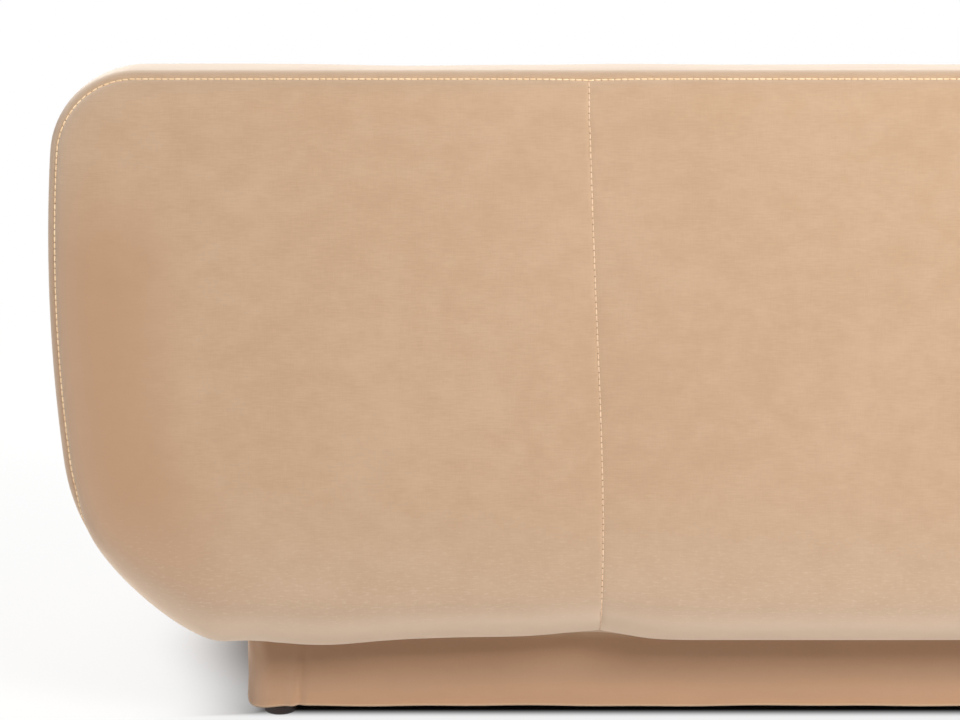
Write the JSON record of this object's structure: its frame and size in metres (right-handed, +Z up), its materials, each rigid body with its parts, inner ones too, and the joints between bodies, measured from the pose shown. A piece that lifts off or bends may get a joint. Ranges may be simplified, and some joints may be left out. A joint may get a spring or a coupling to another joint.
{
  "type": "sofa",
  "caption": "Velvet sofa with a leaning slab back, bowed rounded ends, padded arms, loose lift-off seat cushions and a recessed fabric plinth on low round glides.",
  "frame": {"origin": "on the floor under the middle of the sofa's bounding box", "axes": "+X to the sitter's left, which is the left of the sofa seen from behind; +Y to the rear, so the sitter faces -Y; +Z up"},
  "size_m": [1.9, 0.9, 0.78],
  "materials": {
    "velvet": "matte",
    "foam": "matte",
    "felt": "matte",
    "lining": "matte",
    "dust_cloth": "matte",
    "webbing": "matte",
    "softwood": "matte",
    "plywood": "matte",
    "zinc_steel": "satin",
    "glide_plastic": "satin"
  },
  "bodies": {
    "frame": {"arm_board_left": "softwood", "arm_board_right": "softwood", "arm_bolts": "zinc_steel", "arm_cover_left": "velvet", "arm_cover_right": "velvet", "arm_foam_left": "foam", "arm_foam_right": "foam", "arm_inner_panel_left": "plywood", "arm_inner_panel_right": "plywood", "arm_ribs_left": "plywood", "arm_ribs_right": "plywood", "arm_skin_left": "plywood", "arm_skin_right": "plywood", "arm_top_rail_left": "softwood", "arm_top_rail_right": "softwood", "back_bolts": "zinc_steel", "back_bottom_foam": "foam", "back_bottom_rail": "softwood", "back_boxing": "velvet", "back_end_foam_left": "foam", "back_end_foam_right": "foam", "back_foam": "foam", "back_high_batten": "softwood", "back_low_batten": "softwood", "back_panel": "plywood", "back_posts": "plywood", "back_top_foam": "foam", "back_wadding": "felt", "back_webbing": "webbing", "deck_cloth": "lining", "deck_pad": "felt", "dust_cover": "dust_cloth", "front_border_cover": "velvet", "front_border_foam": "foam", "glide_feet": "glide_plastic", "inside_back_panel_left": "velvet", "inside_back_panel_right": "velvet", "outside_back_panel_centre": "velvet", "outside_back_panel_left": "velvet", "outside_back_panel_right": "velvet", "plinth_back_rail": "softwood", "plinth_corner_blocks": "softwood", "plinth_cover": "velvet", "plinth_cross_rail_left": "softwood", "plinth_cross_rail_right": "softwood", "plinth_front_rail": "softwood", "plinth_left_rail": "softwood", "plinth_right_rail": "softwood", "seat_back_rail": "softwood", "seat_front_rail": "softwood", "seat_left_rail": "softwood", "seat_right_rail": "softwood", "seat_stretcher_left": "softwood", "seat_stretcher_right": "softwood", "seat_webbing_cross": "webbing", "seat_webbing_long": "webbing"},
    "seat_cushion_left": {"seat_cushion_cover_left": "velvet", "seat_cushion_core_left": "foam"},
    "seat_cushion_right": {"seat_cushion_cover_right": "velvet", "seat_cushion_core_right": "foam"}
  },
  "joints": [
    {"name": "seat_cushion_left_lift", "type": "slide", "parent": "frame", "child": "seat_cushion_left", "axis": [0, 0, 1], "range_m": [0, 0.3]},
    {"name": "seat_cushion_right_lift", "type": "slide", "parent": "frame", "child": "seat_cushion_right", "axis": [0, 0, 1], "range_m": [0, 0.3]}
  ]
}
